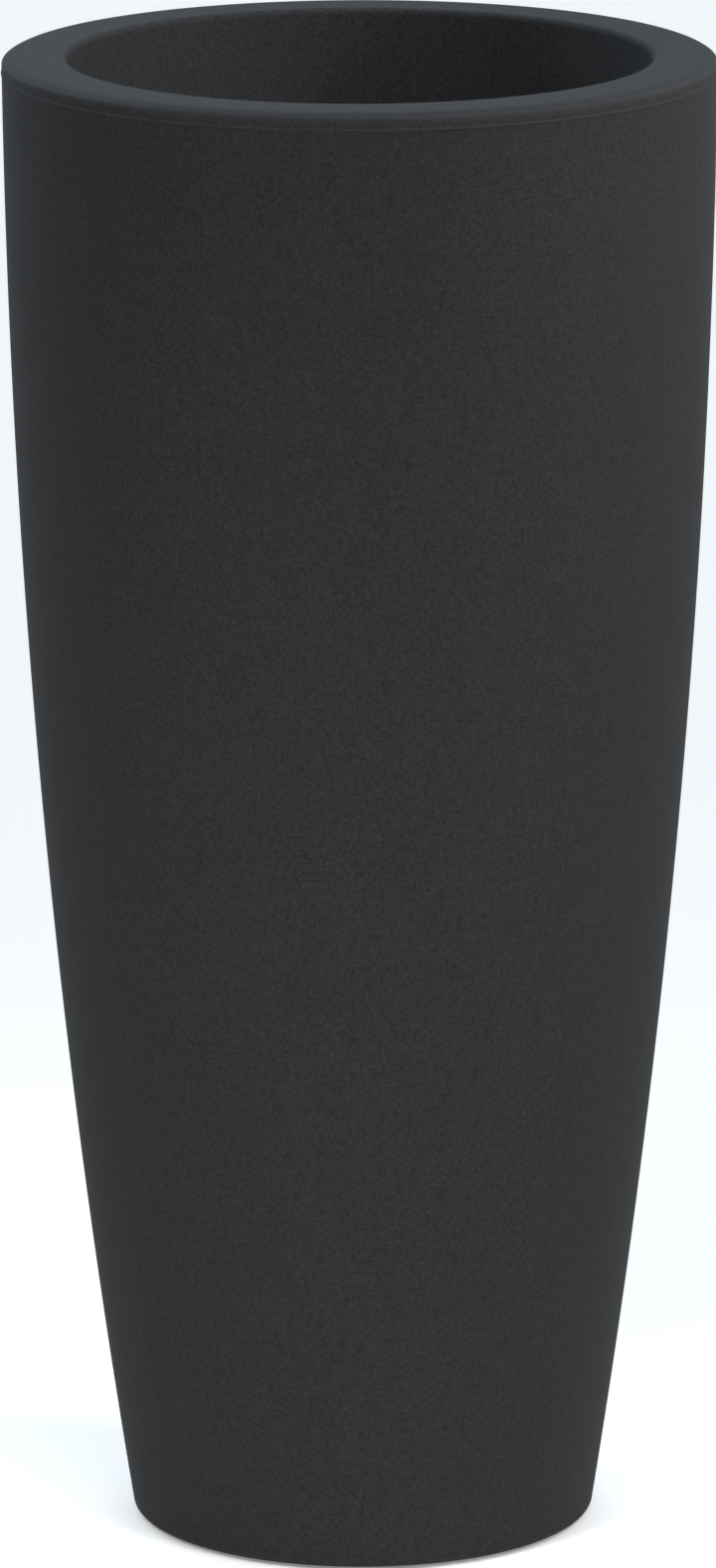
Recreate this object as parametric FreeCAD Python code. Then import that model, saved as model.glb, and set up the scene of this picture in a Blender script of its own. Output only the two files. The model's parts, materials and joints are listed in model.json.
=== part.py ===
# Tall round planter: a moulded shell whose rim turns in and down to a ledge, which carries a lift-out liner pot.
# Millimetres, +Z up. The origin is on the floor under the middle of the base, and the front faces -Y.
import FreeCAD, Part
import math
import os

# Shell: outer form
overall_height = 900.0
rim_diameter = 426.0
base_diameter = 279.8
side_bow = 16.8
base_round = 6.0
rim_outer_round = 5.5
rim_inner_round = 4.0
rim_width = 39.0

# Shell: wall, and the return inside the rim
shell_wall = 5.0
inside_round = 8.0
return_depth = 110.0
return_draft_deg = 1.0
ledge_corner_round = 2.0

# Shell: parting line of the mould, a fine raised bead below the rim
parting_line_drop = 9.6
parting_line_width = 2.0
parting_line_height = 0.5

# Shell: base
base_step_draft_deg = 15.0
base_step_round = 3.0
drain_bore_diameter = 25.0
drain_collar_wall = 6.0
drain_collar_height = 8.0

# Foot pads, in pockets under the base
foot_pad_diameter = 26.0
foot_pad_proud = 2.0
foot_pad_pocket_depth = 3.0
foot_pad_gap = 0.2
foot_pad_edge_chamfer = 0.8
foot_pocket_land = 5.0
foot_pad_first_angle_deg = 45.0

# Drain plug and its washer
plug_gap = 0.3
plug_wall = 2.5
plug_stem_extra = 3.0
plug_lead_in = 1.5
plug_flange_overlap = 8.0
plug_flange_thickness = 3.0
plug_grip_height = 6.0
plug_grip_thickness = 5.0
plug_floor_gap = 5.0
washer_thickness = 2.0
washer_edge_gap = 0.5
washer_stem_gap = 0.1

# Liner pot
liner_depth = 380.0
liner_wall = 3.0
liner_draft_deg = 3.5
liner_bottom_round = 10.0
liner_edge_round = 1.2
liner_side_gap = 0.8
liner_ledge_gap = 2.0
liner_lip_height = 7.0
liner_drain_diameter = 10.0
liner_drain_circle = 170.0
liner_drain_count = 8

# Folding handles of the liner, their ears and pins
handle_width = 9.0
handle_thickness = 7.0
handle_edge_round = 2.2
handle_eye_swell = 1.0
handle_inner_gap = 2.0
handle_outer_gap = 4.7
handle_rest_gap = 0.4
handle_rise = 32.0
pin_diameter = 4.0
pin_running_gap = 0.05
pin_engagement = 10.0
pin_bore_spare = 1.0
pin_end_chamfer = 0.5
ear_gap = 0.4
ear_thickness = 4.0
ear_width = 8.4
ear_cap = 2.5
ear_lip_gap = 3.0

# Levels and radii worked out from the sizes above
base_plane = foot_pad_proud
ledge_plane = overall_height - return_depth
panel_plane = plug_floor_gap + plug_grip_height + plug_flange_thickness + washer_thickness
rim_radius = rim_diameter / 2
base_radius = base_diameter / 2
mouth_radius = rim_radius - rim_width
return_foot_radius = mouth_radius - return_depth * math.tan(math.radians(return_draft_deg))
return_wall = shell_wall / math.cos(math.radians(return_draft_deg))

drain_radius = drain_bore_diameter / 2
collar_top = panel_plane + shell_wall + drain_collar_height
pocket_radius = foot_pad_diameter / 2 + foot_pad_gap

flange_radius = return_foot_radius - ledge_corner_round - liner_side_gap
channel_outer = flange_radius - liner_wall
channel_inner = channel_outer - handle_outer_gap - handle_width - handle_inner_gap
liner_top_radius = channel_inner + liner_wall
ledge_radius = liner_top_radius + liner_ledge_gap
flange_top = ledge_plane + liner_wall
liner_bottom = ledge_plane - liner_depth

handle_radius = channel_inner + handle_inner_gap + handle_width / 2
hinge_x = handle_radius - handle_rise
eye_radius = handle_thickness / 2 + handle_eye_swell
hinge_z = flange_top + handle_rest_gap + eye_radius
eye_inner_y = math.sqrt((handle_radius - handle_width / 2) ** 2 - hinge_x ** 2) - handle_eye_swell
eye_outer_y = math.sqrt((handle_radius + handle_width / 2) ** 2 - hinge_x ** 2) + handle_eye_swell
ear_inner_y = eye_outer_y + ear_gap
ear_outer_y = ear_inner_y + ear_thickness

UP = FreeCAD.Vector(0, 0, 1)
ALONG_Y = FreeCAD.Vector(0, 1, 0)
CENTRE = FreeCAD.Vector(0, 0, 0)


def at(radius, height):
    """A point of a turned section."""
    return FreeCAD.Vector(radius, 0, height)


def line(start, end):
    return Part.LineSegment(start, end).toShape()


def arc(start, through, end):
    return Part.Arc(start, through, end).toShape()


def rounded_path(corners):
    """Edges along (radius, height, round) corners, with a tangent arc at each inner corner that has a round."""
    edges = []
    here = at(*corners[0][:2])
    for index in range(1, len(corners) - 1):
        corner = at(*corners[index][:2])
        corner_round = corners[index][2]
        if corner_round == 0:
            edges.append(line(here, corner))
            here = corner
            continue
        back = (at(*corners[index - 1][:2]) - corner).normalize()
        ahead = (at(*corners[index + 1][:2]) - corner).normalize()
        half_angle = back.getAngle(ahead) / 2
        reach = corner_round / math.tan(half_angle)
        middle = (back + ahead).normalize() * (corner_round / math.sin(half_angle) - corner_round)
        edges.append(line(here, corner + back * reach))
        edges.append(arc(corner + back * reach, corner + middle, corner + ahead * reach))
        here = corner + ahead * reach
    edges.append(line(here, at(*corners[-1][:2])))
    return edges


def turned(edges):
    """The solid that a closed section makes when it is turned about the middle axis."""
    return Part.Face(Part.Wire(Part.__sortEdges__(edges))).revolve(CENTRE, UP, 360)


def tube(outer_radius, inner_radius, bottom, height):
    outer = Part.makeCylinder(outer_radius, height, at(0, bottom))
    return outer.cut(Part.makeCylinder(inner_radius, height, at(0, bottom)))


def around(radius, angle_deg):
    """A point of a circle about the middle axis, at height zero."""
    angle = math.radians(angle_deg)
    return FreeCAD.Vector(radius * math.cos(angle), radius * math.sin(angle), 0)


class BowedSide:
    """The arc that the outer side follows from the base to the rim, and the arcs parallel to it."""

    def __init__(self):
        foot = at(base_radius, base_plane)
        top = at(rim_radius, overall_height)
        chord = top - foot
        outward = FreeCAD.Vector(chord.z, 0, -chord.x).normalize()
        self.radius = (chord.Length ** 2 / 4 + side_bow ** 2) / (2 * side_bow)
        self.centre = (foot + top) * 0.5 - outward * (self.radius - side_bow)

    def at_height(self, height, inset=0.0):
        radius = self.radius - inset
        return at(self.centre.x + math.sqrt(radius ** 2 - (height - self.centre.z) ** 2), height)

    def stretch(self, start, end, inset=0.0):
        return arc(start, self.at_height((start.z + end.z) / 2, inset), end)

    def corner(self, plane, corner_round, inset=0.0, upper=False):
        """Where a round leaves a level plane, its middle point, and where it meets the side."""
        level = -1 if upper else 1
        middle_z = plane + level * corner_round
        reach = self.radius - inset - corner_round
        middle = at(self.centre.x + math.sqrt(reach ** 2 - (middle_z - self.centre.z) ** 2), middle_z)
        outward = (middle - self.centre).normalize()
        on_plane = at(middle.x, plane)
        on_side = middle + outward * corner_round
        halfway = (outward - UP * level).normalize()
        return on_plane, middle + halfway * corner_round, on_side


side = BowedSide()
base_edge, base_edge_middle, side_start = side.corner(base_plane, base_round)
foot_ring_inner = base_edge.x - 2 * (pocket_radius + foot_pocket_land)
foot_circle_radius = (base_edge.x + foot_ring_inner) / 2


def base_step(height, inset=0.0):
    """Radius of the drafted step between the standing ring and the raised base panel."""
    draft = math.radians(base_step_draft_deg)
    return foot_ring_inner - (height - base_plane) * math.tan(draft) + inset / math.cos(draft)


def shell_outer_edges():
    """Underside, bowed side with its parting line, and rim edge."""
    rim_edge, rim_edge_middle, side_end = side.corner(overall_height, rim_outer_round, upper=True)
    bead_plane = overall_height - parting_line_drop
    bead_foot = side.at_height(bead_plane - parting_line_width / 2)
    bead_top = side.at_height(bead_plane + parting_line_width / 2)
    bead_crest = side.at_height(bead_plane, -parting_line_height)
    edges = rounded_path([
        (drain_radius, panel_plane, 0),
        (base_step(panel_plane), panel_plane, base_step_round),
        (foot_ring_inner, base_plane, base_step_round),
        (base_edge.x, base_plane, 0),
    ])
    edges.append(arc(base_edge, base_edge_middle, side_start))
    edges.append(side.stretch(side_start, bead_foot))
    edges.append(arc(bead_foot, bead_crest, bead_top))
    edges.append(side.stretch(bead_top, side_end))
    edges.append(arc(side_end, rim_edge_middle, rim_edge))
    return edges, rim_edge


def shell_inner_edges(rim_edge):
    """Rim, return and ledge, then the cavity's wall and floor down to the drain bore."""
    rim_under = overall_height - shell_wall
    ledge_under = ledge_plane - shell_wall
    ring_floor = base_plane + shell_wall
    panel_floor = panel_plane + shell_wall
    return_back = return_foot_radius + return_wall
    collar_radius = drain_radius + drain_collar_wall
    cavity_top, cavity_top_middle, cavity_side_top = side.corner(rim_under, inside_round, shell_wall, True)
    cavity_foot, cavity_foot_middle, cavity_side_foot = side.corner(ring_floor, inside_round, shell_wall)
    edges = rounded_path([
        (rim_edge.x, overall_height, 0),
        (mouth_radius, overall_height, rim_inner_round),
        (return_foot_radius, ledge_plane, ledge_corner_round),
        (ledge_radius, ledge_plane, 0),
        (ledge_radius, ledge_under, 0),
        (return_back, ledge_under, ledge_corner_round + shell_wall),
        (mouth_radius + return_wall, rim_under, inside_round),
        (cavity_top.x, rim_under, 0),
    ])
    edges.append(arc(cavity_top, cavity_top_middle, cavity_side_top))
    edges.append(side.stretch(cavity_side_top, cavity_side_foot, shell_wall))
    edges.append(arc(cavity_side_foot, cavity_foot_middle, cavity_foot))
    edges += rounded_path([
        (cavity_foot.x, ring_floor, 0),
        (base_step(ring_floor, shell_wall), ring_floor, base_step_round),
        (base_step(panel_floor, shell_wall), panel_floor, base_step_round + shell_wall),
        (collar_radius, panel_floor, base_step_round),
        (collar_radius, collar_top, 0),
        (drain_radius, collar_top, 0),
        (drain_radius, panel_plane, 0),
    ])
    return edges


FOOT_PLACES = {
    "foot_pad_back_right": 0,
    "foot_pad_back_left": 1,
    "foot_pad_front_left": 2,
    "foot_pad_front_right": 3,
}


def foot_place(turn):
    return around(foot_circle_radius, foot_pad_first_angle_deg + 360 / len(FOOT_PLACES) * turn)


def outer_shell():
    outer_edges, rim_edge = shell_outer_edges()
    shell = turned(outer_edges + shell_inner_edges(rim_edge))
    boss_floor = base_plane + shell_wall / 2
    boss_height = shell_wall / 2 + foot_pad_pocket_depth
    for turn in FOOT_PLACES.values():
        boss = Part.makeCylinder(pocket_radius + shell_wall, boss_height, foot_place(turn) + UP * boss_floor)
        shell = shell.fuse(boss)
    for turn in FOOT_PLACES.values():
        pocket = Part.makeCylinder(pocket_radius, foot_pad_pocket_depth, foot_place(turn) + UP * base_plane)
        shell = shell.cut(pocket)
    return shell.removeSplitter()


def foot_pad(turn):
    radius = foot_pad_diameter / 2
    pad_top = base_plane + foot_pad_pocket_depth
    pad = turned(rounded_path([
        (0, 0, 0),
        (radius - foot_pad_edge_chamfer, 0, 0),
        (radius, foot_pad_edge_chamfer, 0),
        (radius, pad_top, 0),
        (0, pad_top, 0),
        (0, 0, 0),
    ]))
    pad.translate(foot_place(turn))
    return pad


def drain_plug():
    flange_plane = panel_plane - washer_thickness
    flange_floor = flange_plane - plug_flange_thickness
    stem_radius = drain_radius - plug_gap
    stem_top = collar_top + plug_stem_extra
    plug_radius = drain_radius + plug_flange_overlap
    plug = turned(rounded_path([
        (0, flange_floor, 0),
        (plug_radius, flange_floor, plug_flange_thickness / 3),
        (plug_radius, flange_plane, 0),
        (stem_radius, flange_plane, 0),
        (stem_radius, stem_top - plug_lead_in, 0),
        (stem_radius - plug_lead_in, stem_top, 0),
        (stem_radius - plug_wall, stem_top, 0),
        (stem_radius - plug_wall, flange_plane, 0),
        (0, flange_plane, 0),
        (0, flange_floor, 0),
    ]))
    grip_length = 2 * stem_radius
    grip_corner = FreeCAD.Vector(-grip_length / 2, -plug_grip_thickness / 2, flange_floor - plug_grip_height)
    grip = Part.makeBox(grip_length, plug_grip_thickness, plug_grip_height, grip_corner)
    grip = grip.makeFillet(plug_grip_thickness / 4, [e for e in grip.Edges if e.BoundBox.ZMax < flange_floor])
    return plug.fuse(grip).removeSplitter()


def plug_washer():
    outer_radius = drain_radius + plug_flange_overlap - washer_edge_gap
    inner_radius = drain_radius - plug_gap + washer_stem_gap
    return tube(outer_radius, inner_radius, panel_plane - washer_thickness, washer_thickness)


def hinge_ear(x_side, y_side):
    """A plate that stands on the liner's flange beside a handle's eye, bored for the pin."""
    bottom = ledge_plane + liner_wall / 2
    height = hinge_z + pin_diameter / 2 + ear_cap - bottom
    y_low = min(y_side * ear_inner_y, y_side * ear_outer_y)
    corner = FreeCAD.Vector(x_side * hinge_x - ear_width / 2, y_low, bottom)
    ear = Part.makeBox(ear_width, ear_thickness, height, corner)
    return ear.common(Part.makeCylinder(flange_radius - liner_edge_round, height, at(0, bottom)))


def lip_break(x_side, y_side):
    """The break in the liner's lip that an ear stands in and a handle's eye turns in."""
    break_end = ear_outer_y + ear_lip_gap
    y_low = min(y_side * eye_inner_y, y_side * break_end)
    corner = FreeCAD.Vector(min(0, x_side * flange_radius), y_low, flange_top)
    return Part.makeBox(flange_radius, break_end - eye_inner_y, 2 * liner_lip_height, corner)


def liner_pot():
    draft = math.tan(math.radians(liner_draft_deg))
    bottom_radius = liner_top_radius - liner_depth * draft
    floor = liner_bottom + liner_wall
    floor_radius = bottom_radius - liner_wall + liner_wall * draft
    lip_top = flange_top + liner_lip_height
    pot = turned(rounded_path([
        (0, liner_bottom, 0),
        (bottom_radius, liner_bottom, liner_bottom_round),
        (liner_top_radius, ledge_plane, 0),
        (flange_radius, ledge_plane, liner_edge_round),
        (flange_radius, lip_top, 0),
        (channel_outer, lip_top, 0),
        (channel_outer, flange_top, 0),
        (channel_inner, flange_top, liner_edge_round),
        (floor_radius, floor, liner_bottom_round - liner_wall),
        (0, floor, 0),
        (0, liner_bottom, 0),
    ]))
    for x_side in (-1, 1):
        for y_side in (-1, 1):
            pot = pot.cut(lip_break(x_side, y_side))
            pot = pot.fuse(hinge_ear(x_side, y_side))
    for x_side in (-1, 1):
        bore_end = ear_outer_y + ear_lip_gap / 2
        start = FreeCAD.Vector(x_side * hinge_x, -bore_end, hinge_z)
        pot = pot.cut(Part.makeCylinder(pin_diameter / 2, 2 * bore_end, start, ALONG_Y))
    drain_places = [around(liner_drain_circle / 2, 360 / liner_drain_count * n) for n in range(liner_drain_count)]
    for place in [CENTRE] + drain_places:
        hole = Part.makeCylinder(liner_drain_diameter / 2, liner_wall, place + UP * liner_bottom)
        pot = pot.cut(hole)
    return pot.removeSplitter()


def lift_handle(x_side):
    """A flat curved bar over the liner's flange, cut square at its hinge line and closed by a bored eye at each end."""
    low = hinge_z - handle_thickness / 2
    high = hinge_z + handle_thickness / 2
    inner = handle_radius - handle_width / 2
    outer = handle_radius + handle_width / 2
    start = (handle_radius, low, 0)
    ring = turned(rounded_path([
        start,
        (outer, low, handle_edge_round),
        (outer, high, handle_edge_round),
        (inner, high, handle_edge_round),
        (inner, low, handle_edge_round),
        start,
    ]))
    keep_corner = FreeCAD.Vector(hinge_x, -outer, low)
    handle = ring.common(Part.makeBox(outer, 2 * outer, handle_thickness, keep_corner))
    for y_side in (-1, 1):
        eye_start = FreeCAD.Vector(hinge_x, y_side * eye_inner_y, hinge_z)
        eye = Part.makeCylinder(eye_radius, eye_outer_y - eye_inner_y, eye_start, ALONG_Y * y_side)
        handle = handle.fuse(eye)
    for y_side in (-1, 1):
        bore_start = FreeCAD.Vector(hinge_x, y_side * eye_outer_y, hinge_z)
        bore_depth = pin_engagement + pin_bore_spare
        bore = Part.makeCylinder(pin_diameter / 2 + pin_running_gap, bore_depth, bore_start, ALONG_Y * -y_side)
        handle = handle.cut(bore)
    handle = handle.removeSplitter()
    if x_side < 0:
        handle.rotate(CENTRE, UP, 180)
    return handle


def handle_pins(x_side):
    """The two pins of one handle, pressed into the ears, with the eyes running on their inner ends."""
    pins = []
    for y_side in (-1, 1):
        start = FreeCAD.Vector(x_side * hinge_x, y_side * ear_outer_y, hinge_z)
        length = ear_thickness + ear_gap + pin_engagement
        pin = Part.makeCylinder(pin_diameter / 2, length, start, ALONG_Y * -y_side)
        rims = [edge for edge in pin.Edges if edge.isClosed() and len(edge.Vertexes) == 1]
        pins.append(pin.makeChamfer(pin_end_chamfer, rims))
    return Part.makeCompound(pins)


def all_pieces():
    pieces = {
        "outer_shell": outer_shell(),
        "drain_plug": drain_plug(),
        "plug_washer": plug_washer(),
        "liner_pot": liner_pot(),
        "handle_left": lift_handle(-1),
        "handle_right": lift_handle(1),
        "handle_pins_left": handle_pins(-1),
        "handle_pins_right": handle_pins(1),
    }
    for name, turn in FOOT_PLACES.items():
        pieces[name] = foot_pad(turn)
    return pieces


os.makedirs("parts", exist_ok=True)
for node, shape in all_pieces().items():
    shape.exportStep("parts/" + node + ".step")
    print(node, "valid" if shape.isValid() else "INVALID", len(shape.Solids), "solid(s)", round(shape.Volume), "mm3")
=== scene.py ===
# Tall round planter in dark moulded plastic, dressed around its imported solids.
# Metres, +Z up, front towards -Y.
import json
import math

import bmesh
import bpy
from mathutils import Matrix, Vector


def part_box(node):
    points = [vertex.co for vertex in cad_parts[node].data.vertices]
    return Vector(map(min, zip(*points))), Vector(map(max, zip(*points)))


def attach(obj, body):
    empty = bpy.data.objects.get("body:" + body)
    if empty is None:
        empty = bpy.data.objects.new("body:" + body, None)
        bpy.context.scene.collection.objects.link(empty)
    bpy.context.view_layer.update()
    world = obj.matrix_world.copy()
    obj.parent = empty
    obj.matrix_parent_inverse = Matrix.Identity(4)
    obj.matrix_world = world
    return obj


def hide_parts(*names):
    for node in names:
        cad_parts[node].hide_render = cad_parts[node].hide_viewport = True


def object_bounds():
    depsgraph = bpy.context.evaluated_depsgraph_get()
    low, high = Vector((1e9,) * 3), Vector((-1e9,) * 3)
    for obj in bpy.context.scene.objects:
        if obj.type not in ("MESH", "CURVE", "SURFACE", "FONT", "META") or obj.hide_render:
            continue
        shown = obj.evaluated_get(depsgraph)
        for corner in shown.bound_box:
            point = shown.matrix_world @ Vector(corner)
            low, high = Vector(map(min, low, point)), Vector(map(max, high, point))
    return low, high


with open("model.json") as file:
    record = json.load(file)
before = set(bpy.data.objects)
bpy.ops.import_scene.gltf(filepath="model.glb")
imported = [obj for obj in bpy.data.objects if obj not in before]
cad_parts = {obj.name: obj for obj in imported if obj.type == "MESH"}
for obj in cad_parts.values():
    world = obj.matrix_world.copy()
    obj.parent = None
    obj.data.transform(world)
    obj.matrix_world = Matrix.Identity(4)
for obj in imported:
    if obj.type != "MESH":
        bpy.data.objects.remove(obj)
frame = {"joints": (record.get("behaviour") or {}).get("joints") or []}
cad_low, cad_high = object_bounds()

# Shell: outer form, with a softly crowned shoulder at the rim's outer edge
HEIGHT = cad_high.z
RIM_RADIUS = 0.213
BASE_RADIUS = 0.1399
SIDE_BOW = 0.0168
BASE_ROUND = 0.006
RIM_SHOULDER_WIDTH = 0.0045
RIM_SHOULDER_DROP = 0.00315
RIM_SHOULDER_ROUND = 0.0125
RIM_EDGE_ROUND = 0.0025
RIM_INNER_ROUND = 0.004
MOUTH_RADIUS = 0.174
SHELL_WALL = 0.005
INSIDE_ROUND = 0.008

# Shell: return inside the rim, ledge, and the bead left by the mould's parting line
RETURN_DEPTH = 0.110
RETURN_SLOPE = math.tan(math.radians(1.0))
RETURN_FOOT_RADIUS = MOUTH_RADIUS - RETURN_DEPTH * RETURN_SLOPE
LEDGE_PLANE = HEIGHT - RETURN_DEPTH
LEDGE_ROUND = 0.002
CUT_EDGE_ROUND = 0.0004
BEAD_DROP = 0.0096
BEAD_PLANE = HEIGHT - BEAD_DROP
BEAD_WIDTH = 0.002
BEAD_HEIGHT = 0.0005

# Shell: base, with a pocket for each foot pad
BASE_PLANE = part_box("outer_shell")[0].z
PANEL_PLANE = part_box("plug_washer")[1].z
STEP_ANGLE = math.radians(15.0)
STEP_ROUND = 0.003
DRAIN_RADIUS = 0.0125
COLLAR_WALL = 0.006
COLLAR_HEIGHT = 0.008
PAD_RADIUS = 0.013
PAD_ROUND = 0.0008
PAD_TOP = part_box("foot_pad_front_left")[1].z
TREAD_DEPTH = 0.0006
TREAD_WIDTH = 0.0012
TREAD_RADII = (0.004, 0.0075)
PAD_FIT_GAP = 0.0002
POCKET_RADIUS = PAD_RADIUS + PAD_FIT_GAP
POCKET_LAND = 0.005
FOOT_CORNERS = ("front_left", "front_right", "back_left", "back_right")

# Drain plug and washer
PLUG_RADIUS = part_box("drain_plug")[1].x
PLUG_STEM_GAP = 0.0003
PLUG_STEM_RADIUS = DRAIN_RADIUS - PLUG_STEM_GAP
PLUG_WALL = 0.0025
PLUG_LEAD_IN = 0.0015
PLUG_EDGE_ROUND = 0.0009
PLUG_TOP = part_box("drain_plug")[1].z
PLUG_FLANGE_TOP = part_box("plug_washer")[0].z
PLUG_FLANGE_THICKNESS = 0.003
PLUG_FLANGE_FLOOR = PLUG_FLANGE_TOP - PLUG_FLANGE_THICKNESS
PLUG_GRIP_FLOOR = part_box("drain_plug")[0].z
PLUG_GRIP_THICKNESS = 0.005
WASHER_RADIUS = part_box("plug_washer")[1].x
WASHER_FIT_GAP = 0.0001
WASHER_BORE = PLUG_STEM_RADIUS + WASHER_FIT_GAP

# Liner pot with its flange, lip and ears
LINER_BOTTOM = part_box("liner_pot")[0].z
LINER_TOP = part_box("liner_pot")[1].z
FLANGE_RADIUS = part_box("liner_pot")[1].x
LINER_WALL = 0.003
LINER_SLOPE = math.tan(math.radians(3.5))
LINER_BOTTOM_ROUND = 0.010
LINER_EDGE_ROUND = 0.0012
LIP_HEIGHT = 0.007
FLANGE_TOP = LEDGE_PLANE + LINER_WALL
CHANNEL_OUTER = FLANGE_RADIUS - LINER_WALL
CHANNEL_WIDTH = 0.0157
CHANNEL_INNER = CHANNEL_OUTER - CHANNEL_WIDTH
LINER_TOP_RADIUS = CHANNEL_INNER + LINER_WALL
LINER_LEDGE_GAP = 0.002
LEDGE_RADIUS = LINER_TOP_RADIUS + LINER_LEDGE_GAP
LINER_DRAIN_RADIUS = 0.005
LINER_DRAIN_CIRCLE = 0.085
LINER_DRAIN_COUNT = 8

# Handles and their hinges
HANDLE_WIDTH = 0.009
HANDLE_THICKNESS = 0.007
HANDLE_ROUND = 0.0022
HANDLE_INSET = 0.002
HANDLE_RADIUS = CHANNEL_INNER + HANDLE_INSET + HANDLE_WIDTH / 2
HINGE_X, _, HINGE_Z = next(j["pos_m"] for j in frame["joints"] if j["name"] == "right_handle_fold")
EYE_RADIUS = 0.0045
EYE_ROUND = 0.0007
EYE_OUTER_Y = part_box("handle_right")[1].y
EYE_OVERLAP = 0.001
EYE_INNER_Y = math.sqrt((HANDLE_RADIUS - HANDLE_WIDTH / 2) ** 2 - HINGE_X ** 2) - EYE_OVERLAP
PIN_RADIUS = 0.002
PIN_RUNNING_GAP = 0.00005
PIN_END_ROUND = 0.0005
PIN_OUTER_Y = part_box("handle_pins_right")[1].y
PIN_LENGTH = 0.0144
PIN_BORE_SPARE = 0.001
EAR_WIDTH = 0.0084
EAR_THICKNESS = 0.004
EAR_ROUND = 0.0032
EAR_LIP_GAP = 0.003

# How finely round forms are divided, and the small gaps and angles that keep their meshes sound
SHELL_STEPS = 288
LINER_STEPS = 192
SMALL_STEPS = 64
ROUND_STEPS = 7
BLOCK_ROUND_STEPS = 4
ROD_ROUND_STEPS = 3
BEAD_STEPS = 4
SIDE_STEPS = 44
AXIS_GAP = 1e-6
COPLANAR_GAP = 0.00005
SHARP_ANGLE = math.radians(38)

# Studio
DISTANT_LIGHT_SPREAD = math.radians(45)
SOFT_BOX_DIAMETER = 0.5


class BowedSide:
    """The arc that the outer side follows from the base to the rim, and the arcs parallel to it."""

    def __init__(self):
        foot = Vector((BASE_RADIUS, BASE_PLANE))
        top = Vector((RIM_RADIUS, HEIGHT))
        chord = top - foot
        outward = Vector((chord.y, -chord.x)).normalized()
        self.radius = (chord.length_squared / 4 + SIDE_BOW ** 2) / (2 * SIDE_BOW)
        self.centre = (foot + top) / 2 - outward * (self.radius - SIDE_BOW)

    def at(self, height, inset=0.0):
        """Radius of the side at a height, or of the arc that lies an inset inside it."""
        return self.centre.x + math.sqrt((self.radius - inset) ** 2 - (height - self.centre.y) ** 2)

    def corner(self, height, corner_round, inset=0.0):
        """The place on the side at a height, as a corner of a section."""
        return self.at(height, inset), height, corner_round

    def stretch(self, start, end, steps, inset=0.0):
        """Corners along the side between two heights."""
        heights = [start + (end - start) * step / steps for step in range(steps + 1)]
        return [self.corner(height, 0, inset) for height in heights]


side = BowedSide()


def foot_place(corner):
    """The middle of a foot pad's box."""
    low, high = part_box("foot_pad_" + corner)
    return (low + high) / 2


FOOT_CIRCLE = foot_place("back_right").xy.length
FOOT_RING_INNER = FOOT_CIRCLE - POCKET_RADIUS - POCKET_LAND


def softened(corners, closed=True):
    """Points of a section through (radius, height, round) corners, with each round as a divided arc."""
    points = []
    count = len(corners)
    for index, (radius, height, corner_round) in enumerate(corners):
        here = Vector((radius, height))
        is_end = not closed and index in (0, count - 1)
        if corner_round == 0 or is_end:
            points.append(here)
            continue
        back = (Vector(corners[index - 1][:2]) - here).normalized()
        ahead = (Vector(corners[(index + 1) % count][:2]) - here).normalized()
        half_angle = back.angle(ahead) / 2
        centre = here + (back + ahead).normalized() * corner_round / math.sin(half_angle)
        spoke = here + back * corner_round / math.tan(half_angle) - centre
        turn = math.pi - 2 * half_angle
        if back.cross(ahead) > 0:
            turn = -turn
        for step in range(ROUND_STEPS + 1):
            points.append(centre + Matrix.Rotation(turn * step / ROUND_STEPS, 2) @ spoke)
    return points


def base_step(height, inset=0.0):
    """Radius of the sloped step between the standing ring and the raised base panel."""
    return FOOT_RING_INNER - (height - BASE_PLANE) * math.tan(STEP_ANGLE) + inset / math.cos(STEP_ANGLE)


def parting_bead():
    """The low round bead that the mould's parting line leaves on the side."""
    corners = []
    for step in range(-BEAD_STEPS, BEAD_STEPS + 1):
        lift = BEAD_HEIGHT * (0.5 + 0.5 * math.cos(math.pi * step / BEAD_STEPS))
        height = BEAD_PLANE + BEAD_WIDTH / 2 * step / BEAD_STEPS
        corners.append((side.at(height) + lift, height, 0))
    return corners


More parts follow.
